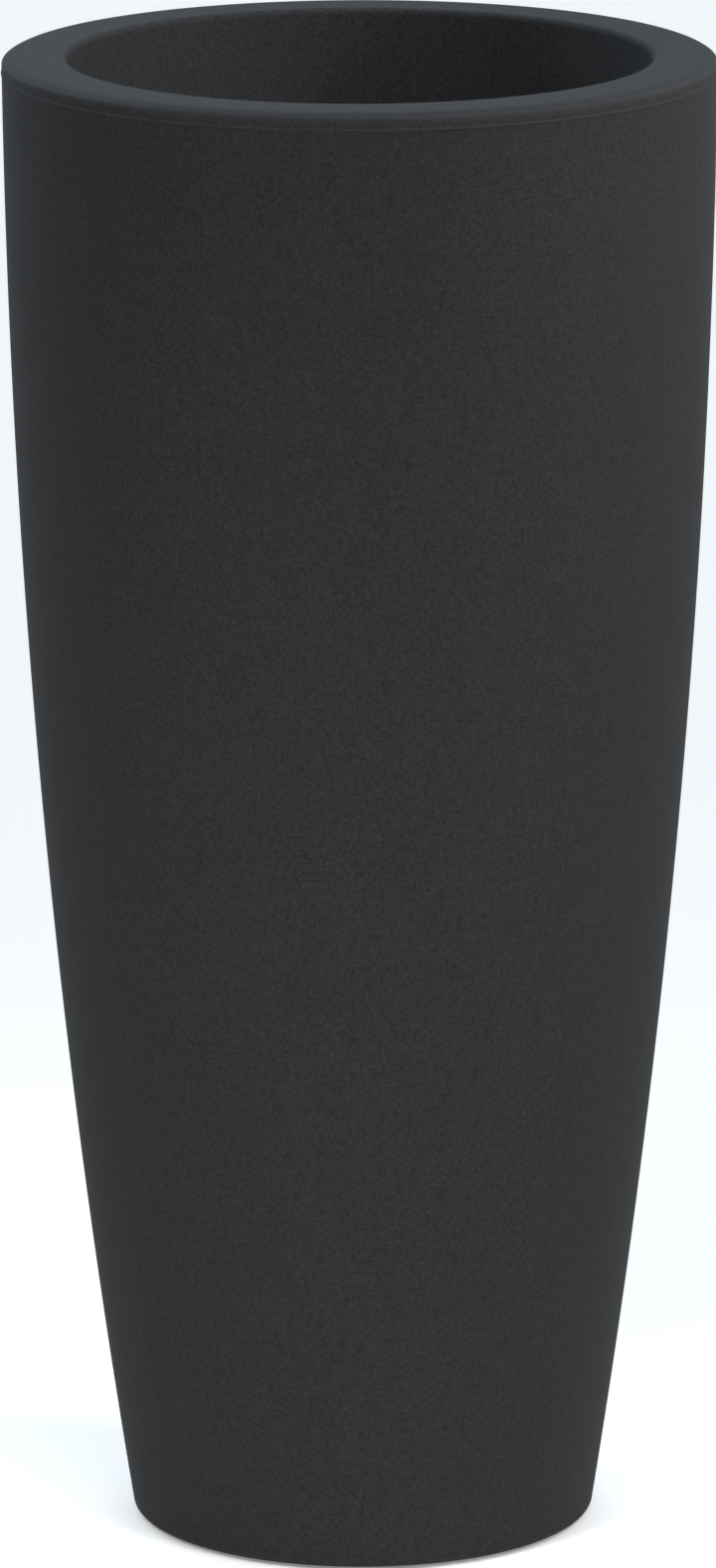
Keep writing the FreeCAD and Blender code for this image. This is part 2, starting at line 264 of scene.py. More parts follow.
def shell_section():
    """The shell's closed section: underside, side, rim, return, ledge, and the cavity back to the drain."""
    ledge_under = LEDGE_PLANE - SHELL_WALL
    rim_under = HEIGHT - SHELL_WALL
    ring_floor = BASE_PLANE + SHELL_WALL
    panel_floor = PANEL_PLANE + SHELL_WALL
    collar_radius = DRAIN_RADIUS + COLLAR_WALL
    collar_top = panel_floor + COLLAR_HEIGHT
    edge_clearance = 3 * BASE_ROUND
    corners = [
        (DRAIN_RADIUS, PANEL_PLANE, CUT_EDGE_ROUND),
        (base_step(PANEL_PLANE), PANEL_PLANE, STEP_ROUND),
        (FOOT_RING_INNER, BASE_PLANE, STEP_ROUND),
        side.corner(BASE_PLANE, BASE_ROUND),
    ]
    corners += side.stretch(BASE_PLANE + edge_clearance, BEAD_PLANE - 2 * BEAD_WIDTH, SIDE_STEPS)
    corners += parting_bead()
    corners += [
        side.corner(HEIGHT - RIM_SHOULDER_DROP, RIM_EDGE_ROUND),
        (side.at(HEIGHT) - RIM_SHOULDER_WIDTH, HEIGHT, RIM_SHOULDER_ROUND),
        (MOUTH_RADIUS, HEIGHT, RIM_INNER_ROUND),
        (RETURN_FOOT_RADIUS, LEDGE_PLANE, LEDGE_ROUND),
        (LEDGE_RADIUS, LEDGE_PLANE, CUT_EDGE_ROUND),
        (LEDGE_RADIUS, ledge_under, CUT_EDGE_ROUND),
        (RETURN_FOOT_RADIUS + SHELL_WALL, ledge_under, LEDGE_ROUND + SHELL_WALL),
        (MOUTH_RADIUS + SHELL_WALL, rim_under, INSIDE_ROUND),
        side.corner(rim_under, INSIDE_ROUND, SHELL_WALL),
    ]
    cavity_top = rim_under - edge_clearance
    cavity_foot = ring_floor + edge_clearance
    corners += side.stretch(cavity_top, cavity_foot, SIDE_STEPS // 2, SHELL_WALL)
    corners += [
        side.corner(ring_floor, INSIDE_ROUND, SHELL_WALL),
        (base_step(ring_floor, SHELL_WALL), ring_floor, STEP_ROUND),
        (base_step(panel_floor, SHELL_WALL), panel_floor, STEP_ROUND + SHELL_WALL),
        (collar_radius, panel_floor, STEP_ROUND),
        (collar_radius, collar_top, CUT_EDGE_ROUND),
        (DRAIN_RADIUS, collar_top, CUT_EDGE_ROUND),
    ]
    return softened(corners)


def liner_section():
    """The liner pot's closed section, with a drain hole at the middle of its floor."""
    bottom_radius = LINER_TOP_RADIUS - (LEDGE_PLANE - LINER_BOTTOM) * LINER_SLOPE
    floor = LINER_BOTTOM + LINER_WALL
    floor_radius = bottom_radius - LINER_WALL + LINER_WALL * LINER_SLOPE
    lip_top = FLANGE_TOP + LIP_HEIGHT
    return softened([
        (LINER_DRAIN_RADIUS, LINER_BOTTOM, CUT_EDGE_ROUND),
        (bottom_radius, LINER_BOTTOM, LINER_BOTTOM_ROUND),
        (LINER_TOP_RADIUS, LEDGE_PLANE, LINER_EDGE_ROUND),
        (FLANGE_RADIUS, LEDGE_PLANE, LINER_EDGE_ROUND),
        (FLANGE_RADIUS, lip_top, LINER_EDGE_ROUND),
        (CHANNEL_OUTER, lip_top, LINER_EDGE_ROUND),
        (CHANNEL_OUTER, FLANGE_TOP, LINER_EDGE_ROUND),
        (CHANNEL_INNER, FLANGE_TOP, LINER_EDGE_ROUND),
        (floor_radius, floor, LINER_BOTTOM_ROUND - LINER_WALL),
        (LINER_DRAIN_RADIUS, floor, CUT_EDGE_ROUND),
    ])


def ring_section(inner, outer, low, high, corner_round):
    """The closed section of a ring with four rounded edges."""
    corners = ((inner, low), (outer, low), (outer, high), (inner, high))
    return softened([(radius, height, corner_round) for radius, height in corners])


def handle_section():
    """The section of a handle's bar."""
    low = HINGE_Z - HANDLE_THICKNESS / 2
    high = HINGE_Z + HANDLE_THICKNESS / 2
    inner = HANDLE_RADIUS - HANDLE_WIDTH / 2
    outer = HANDLE_RADIUS + HANDLE_WIDTH / 2
    return ring_section(inner, outer, low, high, HANDLE_ROUND)


def foot_section():
    """A foot pad's section, with a few tread grooves in its underside."""
    corners = [(AXIS_GAP, 0, 0)]
    for radius in TREAD_RADII:
        corners += [
            (radius, 0, 0),
            (radius, TREAD_DEPTH, 0),
            (radius + TREAD_WIDTH, TREAD_DEPTH, 0),
            (radius + TREAD_WIDTH, 0, 0),
        ]
    corners += [
        (PAD_RADIUS, 0, PAD_ROUND),
        (PAD_RADIUS, PAD_TOP, PAD_ROUND / 2),
        (AXIS_GAP, PAD_TOP, 0),
    ]
    return softened(corners, closed=False)


def plug_section():
    """The plug's section: a flange below, and a hollow stem that pushes up into the drain."""
    bore = PLUG_STEM_RADIUS - PLUG_WALL
    return softened([
        (AXIS_GAP, PLUG_FLANGE_FLOOR, 0),
        (PLUG_RADIUS, PLUG_FLANGE_FLOOR, PLUG_EDGE_ROUND),
        (PLUG_RADIUS, PLUG_FLANGE_TOP, PLUG_EDGE_ROUND / 3),
        (PLUG_STEM_RADIUS, PLUG_FLANGE_TOP, 0),
        (PLUG_STEM_RADIUS, PLUG_TOP, PLUG_LEAD_IN),
        (bore, PLUG_TOP, PLUG_EDGE_ROUND / 2),
        (bore, PLUG_FLANGE_TOP, PLUG_EDGE_ROUND),
        (AXIS_GAP, PLUG_FLANGE_TOP, 0),
    ], closed=False)


def washer_section():
    """The section of the flat washer between the plug's flange and the base panel."""
    return ring_section(WASHER_BORE, WASHER_RADIUS, PLUG_FLANGE_TOP, PANEL_PLANE, CUT_EDGE_ROUND)


def add_node(tree, kind, **settings):
    node = tree.nodes.new(kind)
    for name, value in settings.items():
        setattr(node, name, value)
    return node


def new_tree(name, kind, inputs, outputs):
    """An empty node tree with named sockets, and its input and output nodes."""
    tree = bpy.data.node_groups.new(name, kind)
    for direction, sockets in (("INPUT", inputs), ("OUTPUT", outputs)):
        for words, socket_kind in sockets.items():
            tree.interface.new_socket(words, in_out=direction, socket_type="NodeSocket" + socket_kind)
    return tree, add_node(tree, "NodeGroupInput"), add_node(tree, "NodeGroupOutput")


def close_geometry(tree, given, result, last_socket):
    """Ends a geometry tree: instances made real, and one finish."""
    real = add_node(tree, "GeometryNodeRealizeInstances")
    finish = add_node(tree, "GeometryNodeSetMaterial")
    tree.links.new(last_socket, real.inputs["Geometry"])
    tree.links.new(real.outputs["Geometry"], finish.inputs["Geometry"])
    tree.links.new(given.outputs["Finish"], finish.inputs["Material"])
    tree.links.new(finish.outputs["Geometry"], result.inputs["Piece"])
    return tree


def turned_section_tree():
    """Turns a section curve about the middle axis."""
    inputs = {"Section": "Geometry", "Steps round": "Int", "Finish": "Material"}
    tree, given, result = new_tree("turned_section", "GeometryNodeTree", inputs, {"Piece": "Geometry"})
    circle = add_node(tree, "GeometryNodeCurvePrimitiveCircle", mode="RADIUS")
    circle.inputs["Radius"].default_value = AXIS_GAP
    sweep = add_node(tree, "GeometryNodeCurveToMesh")
    weld = add_node(tree, "GeometryNodeMergeByDistance")
    weld.inputs["Distance"].default_value = 4 * AXIS_GAP
    tree.links.new(given.outputs["Steps round"], circle.inputs["Resolution"])
    tree.links.new(circle.outputs["Curve"], sweep.inputs["Curve"])
    tree.links.new(given.outputs["Section"], sweep.inputs["Profile Curve"])
    tree.links.new(sweep.outputs["Mesh"], weld.inputs["Geometry"])
    return close_geometry(tree, given, result, weld.outputs["Geometry"])


def ring_of_rounds_tree(name, operation):
    """Joins upright round studs to a body, or cuts them out of it, evenly spaced about the axis."""
    inputs = {
        "Body": "Geometry",
        "Count": "Int",
        "Circle radius": "Float",
        "First angle": "Float",
        "Round radius": "Float",
        "Floor": "Float",
        "Top": "Float",
        "Finish": "Material",
    }
    tree, given, result = new_tree(name, "GeometryNodeTree", inputs, {"Piece": "Geometry"})
    places = add_node(tree, "GeometryNodeMeshCircle")
    lift = add_node(tree, "ShaderNodeCombineXYZ")
    spin = add_node(tree, "ShaderNodeCombineXYZ")
    moved = add_node(tree, "GeometryNodeTransform")
    total = add_node(tree, "ShaderNodeMath", operation="ADD")
    middle = add_node(tree, "ShaderNodeMath", operation="DIVIDE")
    middle.inputs[1].default_value = 2
    length = add_node(tree, "ShaderNodeMath", operation="SUBTRACT")
    stud = add_node(tree, "GeometryNodeMeshCylinder")
    stud.inputs["Vertices"].default_value = SMALL_STEPS
    copies = add_node(tree, "GeometryNodeInstanceOnPoints")
    solid = add_node(tree, "GeometryNodeRealizeInstances")
    carve = add_node(tree, "GeometryNodeMeshBoolean", operation=operation)
    body_socket = carve.inputs["Mesh 1"] if operation == "DIFFERENCE" else carve.inputs["Mesh 2"]
    links = [
        (given.outputs["Count"], places.inputs["Vertices"]),
        (given.outputs["Circle radius"], places.inputs["Radius"]),
        (given.outputs["Top"], total.inputs[0]),
        (given.outputs["Floor"], total.inputs[1]),
        (total.outputs["Value"], middle.inputs[0]),
        (given.outputs["Top"], length.inputs[0]),
        (given.outputs["Floor"], length.inputs[1]),
        (middle.outputs["Value"], lift.inputs["Z"]),
        (given.outputs["First angle"], spin.inputs["Z"]),
        (places.outputs["Mesh"], moved.inputs["Geometry"]),
        (lift.outputs["Vector"], moved.inputs["Translation"]),
        (spin.outputs["Vector"], moved.inputs["Rotation"]),
        (given.outputs["Round radius"], stud.inputs["Radius"]),
        (length.outputs["Value"], stud.inputs["Depth"]),
        (moved.outputs["Geometry"], copies.inputs["Points"]),
        (stud.outputs["Mesh"], copies.inputs["Instance"]),
        (copies.outputs["Instances"], solid.inputs["Geometry"]),
        (given.outputs["Body"], body_socket),
        (solid.outputs["Geometry"], carve.inputs["Mesh 2"]),
    ]
    for start, end in links:
        tree.links.new(start, end)
    return close_geometry(tree, given, result, carve.outputs["Mesh"])


TURNED_SECTION = turned_section_tree()
RING_OF_BORES = ring_of_rounds_tree("ring_of_bores", "DIFFERENCE")
RING_OF_BOSSES = ring_of_rounds_tree("ring_of_bosses", "UNION")


def plain_piece(source, name):
    """A plain mesh object of what the source looks like with its modifiers, in place of the source."""
    bpy.context.view_layer.update()
    evaluated = source.evaluated_get(bpy.context.evaluated_depsgraph_get())
    mesh = bpy.data.meshes.new_from_object(evaluated)
    bpy.data.objects.remove(source)
    mesh.name = name
    piece = bpy.data.objects.new(name, mesh)
    bpy.context.scene.collection.objects.link(piece)
    return piece


def shaped(source, tree, name, **values):
    """The source object run through a geometry tree with the given input values."""
    sockets = {item.name: item.identifier for item in tree.interface.items_tree if item.in_out == "INPUT"}
    modifier = source.modifiers.new("shape", "NODES")
    modifier.node_group = tree
    for words, value in values.items():
        modifier[sockets[words.replace("_", " ")]] = value
    return plain_piece(source, name)


def turned(points, name, finish, steps, closed=True):
    """A section of (radius, height) points turned about the axis, run backwards so that faces point out."""
    curve = bpy.data.curves.new(name + "_section", "CURVE")
    curve.dimensions = "3D"
    spline = curve.splines.new("POLY")
    spline.points.add(len(points) - 1)
    for place, point in zip(spline.points, reversed(points)):
        place.co = (point.x - AXIS_GAP, -point.y, 0, 1)
    spline.use_cyclic_u = closed
    source = bpy.data.objects.new(name + "_section", curve)
    bpy.context.scene.collection.objects.link(source)
    return shaped(source, TURNED_SECTION, name, Steps_round=steps, Finish=finish)


def mesh_piece(name, build):
    """A mesh object filled by a function that works on an edit mesh, with its faces outwards."""
    shape = bmesh.new()
    build(shape)
    bmesh.ops.recalc_face_normals(shape, faces=shape.faces)
    mesh = bpy.data.meshes.new(name)
    shape.to_mesh(mesh)
    shape.free()
    piece = bpy.data.objects.new(name, mesh)
    bpy.context.scene.collection.objects.link(piece)
    return piece


def carved(piece, operation, build):
    """The piece joined with, cut by or kept inside the form that a function builds."""
    name = piece.name
    tool = mesh_piece(name + "_tool", build)
    piece.name = name + "_uncut"
    modifier = piece.modifiers.new("carve", "BOOLEAN")
    modifier.operation = operation
    modifier.solver = "EXACT"
    modifier.object = tool
    result = plain_piece(piece, name)
    bpy.data.objects.remove(tool)
    return result


def tidied(piece, finish):
    """Welds a piece, turns its faces outwards, smooths it between sharp edges and gives it one finish."""
    shape = bmesh.new()
    shape.from_mesh(piece.data)
    bmesh.ops.remove_doubles(shape, verts=shape.verts, dist=2 * AXIS_GAP)
    bmesh.ops.recalc_face_normals(shape, faces=shape.faces)
    shape.to_mesh(piece.data)
    shape.free()
    piece.data.shade_smooth()
    piece.data.set_sharp_from_angle(angle=SHARP_ANGLE)
    piece.data.materials.clear()
    piece.data.materials.append(finish)
    return piece


def edges_of(made):
    """The edges of a form just made, each once and always in the same order."""
    return list(dict.fromkeys(edge for vert in made["verts"] for edge in vert.link_edges))


def round_edges(shape, edges, edge_round, steps):
    bmesh.ops.bevel(shape, geom=edges, offset=edge_round, segments=steps, profile=0.5, affect="EDGES")


def add_block(shape, low, high, edge_round=0.0):
    """A box between two corners, with rounded edges where a round is given."""
    middle = (Vector(low) + Vector(high)) / 2
    size = Vector(high) - Vector(low)
    place = Matrix.Translation(middle) @ Matrix.Diagonal(size).to_4x4()
    made = bmesh.ops.create_cube(shape, size=1, matrix=place)
    if edge_round:
        round_edges(shape, edges_of(made), edge_round, BLOCK_ROUND_STEPS)


def add_rod(shape, middle, length, radius, edge_round=0.0):
    """A round rod along Y, with rounded ends where a round is given."""
    place = Matrix.Translation(middle) @ Matrix.Rotation(math.pi / 2, 4, "X")
    made = bmesh.ops.create_cone(
        shape,
        cap_ends=True,
        segments=SMALL_STEPS,
        radius1=radius,
        radius2=radius,
        depth=length,
        matrix=place,
    )
    if edge_round:
        ends = []
        for edge in edges_of(made):
            first, second = edge.verts
            if abs(first.co.y - second.co.y) < length / 2:
                ends.append(edge)
        round_edges(shape, ends, edge_round, ROD_ROUND_STEPS)


def add_ear(shape, x_side, y_side):
    """A hinge plate on the liner's flange, with round upper corners."""
    half = EAR_WIDTH / 2
    foot = FLANGE_TOP - LINER_WALL / 2
    outline = [(-half, foot), (half, foot)]
    for corner_side, first_quarter in ((1, 0), (-1, 1)):
        for step in range(ROUND_STEPS + 1):
            angle = math.pi / 2 * (first_quarter + step / ROUND_STEPS)
            x = corner_side * (half - EAR_ROUND) + EAR_ROUND * math.cos(angle)
            outline.append((x, LINER_TOP - EAR_ROUND + EAR_ROUND * math.sin(angle)))
    loops = []
    for y in (PIN_OUTER_Y - EAR_THICKNESS, PIN_OUTER_Y):
        loops.append([shape.verts.new((x_side * HINGE_X + x, y_side * y, z)) for x, z in outline])
    near, far = loops
    shape.faces.new(near)
    shape.faces.new(far)
    for index in range(len(outline)):
        following = (index + 1) % len(outline)
        shape.faces.new((near[index], near[following], far[following], far[index]))


def each_hinge(build):
    """A builder that runs a function for each of the four hinge places."""
    def build_all(shape):
        for x_side in (-1, 1):
            for y_side in (-1, 1):
                build(shape, x_side, y_side)
    return build_all


def add_lip_break(shape, x_side, y_side):
    """The break in the liner's lip that an ear stands in and a handle's eye turns in."""
    y_ends = sorted((y_side * EYE_INNER_Y, y_side * (PIN_OUTER_Y + EAR_LIP_GAP)))
    x_ends = sorted((x_side * HINGE_X / 2, x_side * (FLANGE_RADIUS + LINER_WALL)))
    low = (x_ends[0], y_ends[0], FLANGE_TOP + COPLANAR_GAP)
    add_block(shape, low, (x_ends[1], y_ends[1], FLANGE_TOP + 2 * LIP_HEIGHT))


def add_ear_bore(shape, x_side, y_side):
    """The hole that a hinge pin is pressed into."""
    middle = (x_side * HINGE_X, y_side * (PIN_OUTER_Y - EAR_THICKNESS / 2), HINGE_Z)
    add_rod(shape, middle, EAR_THICKNESS + EAR_LIP_GAP, PIN_RADIUS)


def planter_shell(finish):
    """The moulded shell, with a boss and a pocket in its base for each foot pad."""
    shell = turned(shell_section(), "planter_shell", finish, SHELL_STEPS)
    ring = dict(Count=len(FOOT_CORNERS), Circle_radius=FOOT_CIRCLE, First_angle=math.pi / 4, Finish=finish)
    shell = shaped(
        shell,
        RING_OF_BOSSES,
        "planter_shell",
        Round_radius=POCKET_RADIUS + SHELL_WALL,
        Floor=BASE_PLANE + SHELL_WALL / 2,
        Top=PAD_TOP + SHELL_WALL,
        **ring,
    )
    return shaped(
        shell,
        RING_OF_BORES,
        "planter_shell",
        Round_radius=POCKET_RADIUS,
        Floor=BASE_PLANE - SHELL_WALL,
        Top=PAD_TOP,
        **ring,
    )


def liner_moulding(finish):
    """The liner pot, with drain holes in its floor, and breaks in its lip where bored ears stand."""
    pot = turned(liner_section(), "liner_moulding", finish, LINER_STEPS)
    pot = shaped(
        pot,
        RING_OF_BORES,
        "liner_moulding",
        Count=LINER_DRAIN_COUNT,
        Circle_radius=LINER_DRAIN_CIRCLE,
        First_angle=0.0,
        Round_radius=LINER_DRAIN_RADIUS,
        Floor=LINER_BOTTOM - LINER_WALL,
        Top=LINER_BOTTOM + 2 * LINER_WALL,
        Finish=finish,
    )
    pot = carved(pot, "DIFFERENCE", each_hinge(add_lip_break))
    pot = carved(pot, "UNION", each_hinge(add_ear))
    return carved(pot, "DIFFERENCE", each_hinge(add_ear_bore))


def lift_handle(x_side, name, finish):
    """A curved bar that follows the liner's flange, with a bored eye at each end."""
    reach = HANDLE_RADIUS + HANDLE_WIDTH
    bar = turned(handle_section(), name, finish, LINER_STEPS)

    def add_kept_side(shape):
        add_block(shape, (HINGE_X, -reach, HINGE_Z - reach), (reach, reach, HINGE_Z + reach))

    def add_eyes(shape):
        for y_side in (-1, 1):
            middle = (HINGE_X, y_side * (EYE_INNER_Y + EYE_OUTER_Y) / 2, HINGE_Z)
            add_rod(shape, middle, EYE_OUTER_Y - EYE_INNER_Y, EYE_RADIUS, EYE_ROUND)

    def add_bores(shape):
        bore_end = PIN_OUTER_Y - PIN_LENGTH - PIN_BORE_SPARE
        for y_side in (-1, 1):
            middle = (HINGE_X, y_side * (bore_end + PIN_OUTER_Y) / 2, HINGE_Z)
            add_rod(shape, middle, PIN_OUTER_Y - bore_end, PIN_RADIUS + PIN_RUNNING_GAP)

    bar = carved(bar, "INTERSECT", add_kept_side)
    bar = carved(bar, "UNION", add_eyes)
    bar = carved(bar, "DIFFERENCE", add_bores)
    if x_side < 0:
        bar.data.transform(Matrix.Rotation(math.pi, 4, "Z"))
    return bar


def hinge_pins(x_side, name):
    """The two drawn pins of one handle."""
    def add_pins(shape):
        for y_side in (-1, 1):
            middle = (x_side * HINGE_X, y_side * (PIN_OUTER_Y - PIN_LENGTH / 2), HINGE_Z)
            add_rod(shape, middle, PIN_LENGTH, PIN_RADIUS, PIN_END_ROUND)
    return mesh_piece(name, add_pins)


def rubber_foot(corner, finish):
    """A foot pad, in its pocket under the base."""
    pad = turned(foot_section(), "rubber_foot_" + corner, finish, SMALL_STEPS, closed=False)
    pad.data.transform(Matrix.Translation((*foot_place(corner).xy, 0)))
    return pad


def drain_stopper(finish):
    """The drain plug, with a grip bar under its flange."""
    def add_grip(shape):
        half = Vector((PLUG_STEM_RADIUS, PLUG_GRIP_THICKNESS / 2))
        top = PLUG_FLANGE_TOP - PLUG_EDGE_ROUND
        add_block(shape, (*-half, PLUG_GRIP_FLOOR), (*half, top), PLUG_GRIP_THICKNESS / 4)

    plug = turned(plug_section(), "drain_stopper", finish, SMALL_STEPS, closed=False)
    return carved(plug, "UNION", add_grip)


def sized_noise(tree, size, detail):
    """Noise on the piece's own coordinates, with patches of the size that a socket gives."""
    place = add_node(tree, "ShaderNodeTexCoord")
    scale = add_node(tree, "ShaderNodeMath", operation="DIVIDE")
    scale.inputs[0].default_value = 1
    noise = add_node(tree, "ShaderNodeTexNoise")
    noise.inputs["Detail"].default_value = detail
    tree.links.new(size, scale.inputs[1])
    tree.links.new(scale.outputs["Value"], noise.inputs["Scale"])
    tree.links.new(place.outputs["Object"], noise.inputs["Vector"])
    return noise.outputs["Fac"]


def grain_group():
    """Fine moulded grain on slow swells, as a height in metres."""
    inputs = {words + kind: "Float" for words in ("Grain", "Swell") for kind in (" size", " depth")}
    tree, given, result = new_tree("moulded_grain", "ShaderNodeTree", inputs, {"Height": "Float"})
    total = add_node(tree, "ShaderNodeMath", operation="ADD")
    for index, words in enumerate(("Grain", "Swell")):
        noise = sized_noise(tree, given.outputs[words + " size"], detail=2)
        height = add_node(tree, "ShaderNodeMath", operation="MULTIPLY")
        tree.links.new(noise, height.inputs[0])
        tree.links.new(given.outputs[words + " depth"], height.inputs[1])
        tree.links.new(height.outputs["Value"], total.inputs[index])
    tree.links.new(total.outputs["Value"], result.inputs["Height"])
    return tree


def tone_group():
    """A colour that drifts in broad patches and in fine specks, and the drift itself about zero."""
    inputs = {"Tone": "Color"}
    for words in ("Patch", "Speck"):
        inputs[words + " size"] = "Float"
        inputs[words + " strength"] = "Float"
    outputs = {"Colour": "Color", "Drift": "Float"}
    tree, given, result = new_tree("tone_drift", "ShaderNodeTree", inputs, outputs)
    drift = add_node(tree, "ShaderNodeMath", operation="ADD")
    for index, (words, detail) in enumerate((("Patch", 3), ("Speck", 1))):
        noise = sized_noise(tree, given.outputs[words + " size"], detail)
        centred = add_node(tree, "ShaderNodeMath", operation="SUBTRACT")
        centred.inputs[1].default_value = 0.5
        share = add_node(tree, "ShaderNodeMath", operation="MULTIPLY")
        tree.links.new(noise, centred.inputs[0])
        tree.links.new(centred.outputs["Value"], share.inputs[0])
        tree.links.new(given.outputs[words + " strength"], share.inputs[1])
        tree.links.new(share.outputs["Value"], drift.inputs[index])
    factor = add_node(tree, "ShaderNodeMath", operation="ADD")
    factor.inputs[1].default_value = 1
    colour = add_node(tree, "ShaderNodeVectorMath", operation="SCALE")
    tree.links.new(drift.outputs["Value"], factor.inputs[0])
    tree.links.new(given.outputs["Tone"], colour.inputs[0])
    tree.links.new(factor.outputs["Value"], colour.inputs["Scale"])
    tree.links.new(colour.outputs["Vector"], result.inputs["Colour"])
    tree.links.new(drift.outputs["Value"], result.inputs["Drift"])
    return tree


def wear_and_highlight_group():
    """How far a turned edge is made pale, for rubbed wear on some edges and a painted highlight on others:
    most on the edge, nothing beyond the reach, and in patches.
    """
    inputs = {words: "Float" for words in ("Edge radius", "Edge height", "Reach", "Patch size", "Amount")}
    tree, given, result = new_tree("edge_wear_and_highlight", "ShaderNodeTree", inputs, {"Mask": "Float"})
    place = add_node(tree, "ShaderNodeTexCoord")
    parts = add_node(tree, "ShaderNodeSeparateXYZ")
    flat = add_node(tree, "ShaderNodeCombineXYZ")
    radius = add_node(tree, "ShaderNodeVectorMath", operation="LENGTH")
    across = add_node(tree, "ShaderNodeMath", operation="SUBTRACT")
    along = add_node(tree, "ShaderNodeMath", operation="SUBTRACT")
    offset = add_node(tree, "ShaderNodeCombineXYZ")
    distance = add_node(tree, "ShaderNodeVectorMath", operation="LENGTH")
    fall = add_node(tree, "ShaderNodeMapRange", interpolation_type="SMOOTHSTEP")
    fall.inputs["From Min"].default_value = 0
    fall.inputs["To Min"].default_value = 1
    fall.inputs["To Max"].default_value = 0
    noise = sized_noise(tree, given.outputs["Patch size"], detail=4)
    broken = add_node(tree, "ShaderNodeMath", operation="MULTIPLY")
    amount = add_node(tree, "ShaderNodeMath", operation="MULTIPLY")
    links = [
        (place.outputs["Object"], parts.inputs["Vector"]),
        (parts.outputs["X"], flat.inputs["X"]),
        (parts.outputs["Y"], flat.inputs["Y"]),
        (flat.outputs["Vector"], radius.inputs[0]),
        (radius.outputs["Value"], across.inputs[0]),
        (given.outputs["Edge radius"], across.inputs[1]),
        (parts.outputs["Z"], along.inputs[0]),
        (given.outputs["Edge height"], along.inputs[1]),
        (across.outputs["Value"], offset.inputs["X"]),
        (along.outputs["Value"], offset.inputs["Y"]),
        (offset.outputs["Vector"], distance.inputs[0]),
        (distance.outputs["Value"], fall.inputs["Value"]),
        (given.outputs["Reach"], fall.inputs["From Max"]),
        (fall.outputs["Result"], broken.inputs[0]),
        (noise, broken.inputs[1]),
        (broken.outputs["Value"], amount.inputs[0]),
        (given.outputs["Amount"], amount.inputs[1]),
        (amount.outputs["Value"], result.inputs["Mask"]),
    ]
    for start, end in links:
        tree.links.new(start, end)
    return tree


def streak_group():
    """Fine streaks, as a height in metres: each size says how far a streak runs along that axis."""
    inputs = {"Streak size": "Vector", "Depth": "Float"}
    tree, given, result = new_tree("fine_streaks", "ShaderNodeTree", inputs, {"Height": "Float"})
    place = add_node(tree, "ShaderNodeTexCoord")
    sized = add_node(tree, "ShaderNodeVectorMath", operation="DIVIDE")
    noise = add_node(tree, "ShaderNodeTexNoise")
    noise.inputs["Scale"].default_value = 1
    height = add_node(tree, "ShaderNodeMath", operation="MULTIPLY")
    tree.links.new(place.outputs["Object"], sized.inputs[0])
    tree.links.new(given.outputs["Streak size"], sized.inputs[1])
    tree.links.new(sized.outputs["Vector"], noise.inputs["Vector"])
    tree.links.new(noise.outputs["Fac"], height.inputs[0])
    tree.links.new(given.outputs["Depth"], height.inputs[1])
    tree.links.new(height.outputs["Value"], result.inputs["Height"])
    return tree


MOULDED_GRAIN = grain_group()
TONE_DRIFT = tone_group()
EDGE_WEAR_AND_HIGHLIGHT = wear_and_highlight_group()
FINE_STREAKS = streak_group()


class Finish:
    """A material under construction: its shader, and the groups that vary colour, roughness and relief."""

    def __init__(self, name, roughness, **constants):
        self.material = bpy.data.materials.new(name)
        self.material.use_nodes = True
        self.tree = self.material.node_tree
        self.shader = self.tree.nodes["Principled BSDF"]
        self.roughness = roughness
        self.colour = None
        self.height = None
        for words, value in constants.items():
            self.shader.inputs[words.replace("_", " ")].default_value = value

    def group(self, tree, **values):
        """Places a shared group in the material, with its own values."""
        node = add_node(self.tree, "ShaderNodeGroup", node_tree=tree)
        for words, value in values.items():
            node.inputs[words.replace("_", " ")].default_value = value
        return node

    def tone(self, colour, roughness_drift, **values):
        """Sets a drifting colour, and a roughness that drifts with it."""
        node = self.group(TONE_DRIFT, Tone=(*colour, 1), **values)
        self.colour = node.outputs["Colour"]
        rough = add_node(self.tree, "ShaderNodeMath", operation="MULTIPLY_ADD")
        rough.inputs[1].default_value = roughness_drift
        rough.inputs[2].default_value = self.roughness
        self.tree.links.new(node.outputs["Drift"], rough.inputs[0])
        self.tree.links.new(rough.outputs["Value"], self.shader.inputs["Roughness"])

    def wear_and_highlight(self, colour, **values):
        """Lays a paler colour over an edge: rubbed wear on some edges, a painted highlight on others."""
        node = self.group(EDGE_WEAR_AND_HIGHLIGHT, **values)
        mix = add_node(self.tree, "ShaderNodeMix", data_type="RGBA")
        sockets = {socket.identifier: socket for socket in mix.inputs}
        sockets["B_Color"].default_value = (*colour, 1)
        self.tree.links.new(node.outputs["Mask"], sockets["Factor_Float"])
        self.tree.links.new(self.colour, sockets["A_Color"])
        self.colour = next(socket for socket in mix.outputs if socket.identifier == "Result_Color")

    def relief(self, tree, **values):
        """Adds a height that the shader's normal follows."""
        node = self.group(tree, **values)
        if self.height is None:
            self.height = node.outputs["Height"]
            return
        total = add_node(self.tree, "ShaderNodeMath", operation="ADD")
        self.tree.links.new(self.height, total.inputs[0])
        self.tree.links.new(node.outputs["Height"], total.inputs[1])
        self.height = total.outputs["Value"]

    def done(self):
        """Joins colour and relief to the shader."""
        bump = add_node(self.tree, "ShaderNodeBump")
        bump.inputs["Distance"].default_value = 1
        self.tree.links.new(self.colour, self.shader.inputs["Base Color"])
        self.tree.links.new(self.height, bump.inputs["Height"])
        self.tree.links.new(bump.outputs["Normal"], self.shader.inputs["Normal"])
        return self.material


def paler(tone, times):
    return tuple(times * value for value in tone)


